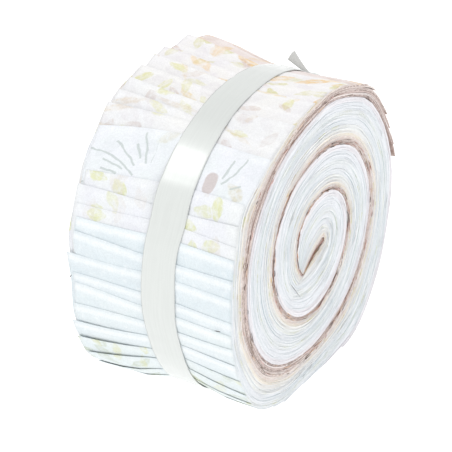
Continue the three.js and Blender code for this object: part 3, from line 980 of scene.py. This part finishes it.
# The free ends of the ribbon: the flat length in metres and, from the tip to the knot, the places of
# the two edges, each as x, angle and rise
freeEnds = {
    "ribbon_tail_long": {"flat": 0.01, "edges": [
        ((1.5, 213.8, 2.2), (-2.9, 224.5, 7.2)), ((3.2, 221.5, 0.9), (3.4, 228, 2.2)),
        ((5.6, 228, 1.0), (5.4, 234.2, 1.8)),
    ]},
    "ribbon_tail_short": {"flat": 0.018, "edges": [
        ((23.5, 233, 1.3), (26.2, 245.5, 1.6)), ((14, 232, 1.5), (15, 240, 2.6)),
        ((5.6, 231, 1.2), (5.6, 236, 1.6)),
    ]},
}
freeEndShape = {"rows": 19, "columns": 11, "cup": 0.35, "gather": 0.3, "clothLength": 20}


def makeFreeEnd(name, edges, materials):
    along = np.linspace(0, 1, freeEndShape["rows"])[:, None, None]
    across = np.linspace(0, 1, freeEndShape["columns"])[None, :, None]
    tip, bend, knot = (np.array(edge, float) for edge in edges)
    bothEdges = tip + (4 * bend - 3 * tip - knot) * along + (2 * tip + 2 * knot - 4 * bend) * along ** 2
    places = bothEdges[:, :1] + (bothEdges[:, 1:] - bothEdges[:, :1]) * across
    x, angle, rise = np.moveaxis(places, -1, 0)
    along, across = along[..., 0], across[..., 0]
    cup = freeEndShape["cup"] * np.sin(np.pi * across) * (1 - along)
    gather = freeEndShape["gather"] * along * np.cos(4 * np.pi * across)
    flat = np.broadcast_arrays(along * freeEndShape["clothLength"], across * ribbon["width"])
    radius = outlineRadius(angle) + rise + (cup - gather)
    return sheetOnRoll(name, x, angle, radius, np.stack(flat, axis=-1), materials)


# The knot, a pleated lump. Its width, height and length are given as halves.
knotShape = {
    "around": 40, "rings": 25, "width": 4.4, "height": 1.9, "length": 4.3,
    "lean": 0.5, "waist": 0.16, "pleat": 0.07, "pleats": 7, "twist": 3,
}


def knotPoints():
    around = np.linspace(0, 2 * np.pi, knotShape["around"] + 1)[:-1, None]
    along = np.linspace(0, np.pi, knotShape["rings"])[None, :]
    pleats = knotShape["pleats"] * around + knotShape["twist"] * along
    pleats = 1 + knotShape["pleat"] * np.cos(pleats) * np.sin(along)
    waist = 1 + knotShape["waist"] * np.cos(2 * along)
    x = knotShape["width"] * pleats * waist * np.sin(along) * np.cos(around)
    out = knotShape["height"] * pleats * np.sin(along) ** 0.8 * np.sin(around)
    run = -knotShape["length"] * np.cos(along) + knotShape["lean"] * np.cos(around)
    base = outlineRadius(ribbon["knotAngle"]) + ribbon["proud"] + knotShape["height"]
    angle = ribbon["knotAngle"] + np.degrees(run / base)
    return onRoll(x + ribbon["middle"], outward(angle) * (base + out)[..., None])


def makeKnot(materials):
    places = knotPoints()
    number = np.arange(places[..., 0].size).reshape(places.shape[:2])
    turned = np.roll(number, -1, axis=0)
    quads = np.stack([number[:, :-1], number[:, 1:], turned[:, 1:], turned[:, :-1]], -1).reshape(-1, 4)
    mesh = bpy.data.meshes.new("ribbon_knot_wrap")
    mesh.from_pydata((places.reshape(-1, 3) * mm).tolist(), [], quads.tolist())
    cleaned = bmesh.new()
    cleaned.from_mesh(mesh)
    bmesh.ops.remove_doubles(cleaned, verts=cleaned.verts, dist=0.00001)
    bmesh.ops.recalc_face_normals(cleaned, faces=cleaned.faces)
    wraps = cleaned.loops.layers.uv.new("cloth")
    for face in cleaned.faces:
        face.smooth = True
        for loop in face.loops:
            loop[wraps].uv = (loop.vert.co.y, loop.vert.co.x)
    cleaned.to_mesh(mesh)
    cleaned.free()
    return addObject("ribbon_knot_wrap", mesh, materials)


knot = makeKnot([satin])
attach(knot, "root")
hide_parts("ribbon_knot")
for name, freeEnd in freeEnds.items():
    tail = makeFreeEnd(name.replace("_tail", "_end"), freeEnd["edges"], [dullShadedSatin])
    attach(tail, "root")
    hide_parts(name)


# Loose threads on the cut edges, at both ends of the roll
threads = {
    "steps": 7,
    "from": -150,
    "to": 960,
    "outerShort": 280,  # how much sooner the outermost threads end than the innermost
    "drift": 0.006,
    "bend": 0.003,
    "ripple": 0.12,
    "proud": (0.05, 0.3),
    "clear": 0.1,
    "kinds": [
        {"count": 420, "shares": (0.2, 1), "length": (2.5, 11), "radius": 0.085,
         "colours": ["F4F4F2", "F7F7F8", "E8EAEC"]},
        {"count": 540, "shares": (0, 0.2), "length": (1, 5.5), "radius": 0.12,
         "colours": ["57463F", "86705F", "DDB5AE", "F6F0EA", "B98878", "E6C4A8"]},
    ],
    # two threads across the strips, as x, angle, radius, length and slope
    "stray": {"colour": "3A3634", "radius": 0.16, "clear": 0.15,
              "places": [(26.8, 84, 57.6, 2.4, 0.1), (-31, 88, 57.4, 0.9, 0.4)]},
    # one long thread on the front end, by angle and radius
    "onFace": {"colour": "7C7C7C", "radius": 0.12, "clear": 0.85,
               "places": [(72.3, 19.5), (64, 18.5), (56, 18.1), (47, 18.2), (37.7, 18.6)]},
}


def threadTube(points, radius):
    course = unit(alongRows(points))
    side = unit(np.cross(course, (0.3, 0.5, 0.81)))
    other = np.cross(course, side)
    turns = np.radians([0, 120, 240])
    ring = side[:, None] * np.cos(turns)[:, None] + other[:, None] * np.sin(turns)[:, None]
    thin = radius * np.minimum(1, 0.3 + 0.7 * np.sin(np.linspace(0, np.pi, len(points))) ** 0.4)
    return points[:, None] + ring * thin[:, None, None]


def threadFaces(first, rows):
    quads = []
    for row in range(rows - 1):
        for i in range(3):
            a, b = first + 3 * row + i, first + 3 * row + (i + 1) % 3
            quads.append((a, b, b + 3, a + 3))
    last = first + 3 * (rows - 1)
    return quads + [(first + 2, first + 1, first), (last, last + 1, last + 2)]


def edgeThread(share, length, end):
    steps = threads["steps"]
    middle = dice.uniform(threads["from"], threads["to"] - threads["outerShort"] * share)
    radius = np.linalg.norm(layerPoint(np.array([middle]), np.array([share]))[0])
    half = np.degrees(length / 2 / max(radius, 5))
    angle = np.linspace(middle - half, middle + half, steps)
    drift = share + np.linspace(-1, 1, steps) * dice.normal(0, threads["drift"])
    drift = drift + threads["bend"] * np.sin(np.linspace(0, 5, steps) + dice.uniform(0, 6))
    x = np.full(steps, end * halfStrip)
    points = softened(layerPoint(angle, np.clip(drift, 0.001, 1)), 0, angle, x)
    proud = dice.uniform(*threads["proud"])
    proud = proud + threads["ripple"] * np.sin(np.linspace(0, 4, steps) + dice.uniform(0, 6))
    return onRoll(x + end * (proud + threads["clear"]), points)


def threadMaterial(colour):
    material, tree, shader = newMaterial(f"thread_{colour}")
    tone = noiseAt(tree, addNode(tree, "TexCoord").outputs["Object"], 900.0)
    lit = scaledBy(tree, screenColour(colour)[:3], ramp(tree, tone, 0.3, 0.7, 0.9, 1.05))
    fill(shader.inputs["Base Color"], lit)
    fillInputs(shader, cottonFinish)
    return material


def makeThreads():
    vertices, faces, slots, colours = [], [], [], []

    def addThread(path, radius, slot):
        made = threadFaces(len(vertices), len(path))
        vertices.extend(threadTube(path, radius).reshape(-1, 3).tolist())
        faces.extend(made)
        slots.extend([slot] * len(made))

    for kind in threads["kinds"]:
        first = len(colours)
        colours += kind["colours"]
        for i in range(kind["count"]):
            end = 1 if i % 3 else -1  # two of three are at the front
            share = dice.uniform(*kind["shares"])
            path = edgeThread(share, dice.uniform(*kind["length"]), end)
            radius = kind["radius"] * dice.uniform(0.7, 1.2)
            addThread(path, radius, first + int(dice.integers(len(kind["colours"]))))
    stray, onFace = threads["stray"], threads["onFace"]
    colours += [stray["colour"], onFace["colour"]]
    for x, angle, radius, length, slope in stray["places"]:
        steps = np.linspace(-0.5, 0.5, 5)
        place = outward(angle + slope * steps * 3) * (radius + stray["clear"])
        addThread(onRoll(x + length * steps, place), stray["radius"], len(colours) - 2)
    turns, radii = np.array(onFace["places"]).T
    path = onRoll(halfStrip + onFace["clear"], outward(turns) * radii[:, None])
    addThread(path, onFace["radius"], len(colours) - 1)
    mesh = bpy.data.meshes.new("loose_threads")
    mesh.from_pydata((np.array(vertices) * mm).tolist(), [], faces)
    mesh.polygons.foreach_set("material_index", slots)
    piece = addObject("loose_threads", mesh, [threadMaterial(colour) for colour in colours])
    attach(piece, "root")
    return piece


print("threads")
makeThreads()


def makeCamera():
    view = {
        "azimuth": 30.63,
        "elevation": 29.01,
        "distance": 917.95,
        "lens": 209.1,
        "sensor": 36,
        "nearest": 0.05,
        "aim": (-2.6, -2.2, 52.0),
    }
    turn, rise = math.radians(view["azimuth"]), math.radians(view["elevation"])
    back = Vector((math.sin(turn) * math.cos(rise), -math.cos(turn) * math.cos(rise), math.sin(rise)))
    camera = addObject("camera", bpy.data.cameras.new("camera"))
    camera.data.lens = view["lens"]
    camera.data.sensor_width = view["sensor"]
    camera.data.clip_start = view["nearest"]
    camera.location = (Vector(view["aim"]) + back * view["distance"]) * mm
    camera.rotation_euler = back.to_track_quat("Z", "Y").to_euler()
    bpy.context.scene.camera = camera


def makeLights():
    world = bpy.data.worlds.new("studio")
    world.use_nodes = True
    fillInputs(world.node_tree.nodes["Background"], {"Color": (1, 1, 1, 1), "Strength": studio["sky"]})
    bpy.context.scene.world = world
    for name, (place, size, power) in studio["lights"].items():
        lamp = addObject(name, bpy.data.lights.new(name, "AREA"))
        lamp.data.size = size * mm
        lamp.data.energy = power
        lamp.location = Vector(place) * mm
        lamp.rotation_euler = (Vector(place) - Vector(studio["aim"])).to_track_quat("Z", "Y").to_euler()


def makeFloor():
    mesh = bpy.data.meshes.new("floor")
    reach = studio["floorReach"]
    corners = [(-reach, -reach, 0), (reach, -reach, 0), (reach, reach, 0), (-reach, reach, 0)]
    mesh.from_pydata(corners, [], [(0, 1, 2, 3)])
    paper, tree, shader = newMaterial("paper")
    grey = (studio["floorGrey"],) * 3 + (1,)
    glow = {"Emission Color": (1, 1, 1, 1), "Emission Strength": studio["floorGlow"]}
    fillInputs(shader, {"Base Color": grey, "Roughness": 0.9, **glow})
    addObject("floor", mesh, [paper])


makeCamera()
makeLights()
makeFloor()
bpy.context.scene.view_settings.view_transform = "Standard"
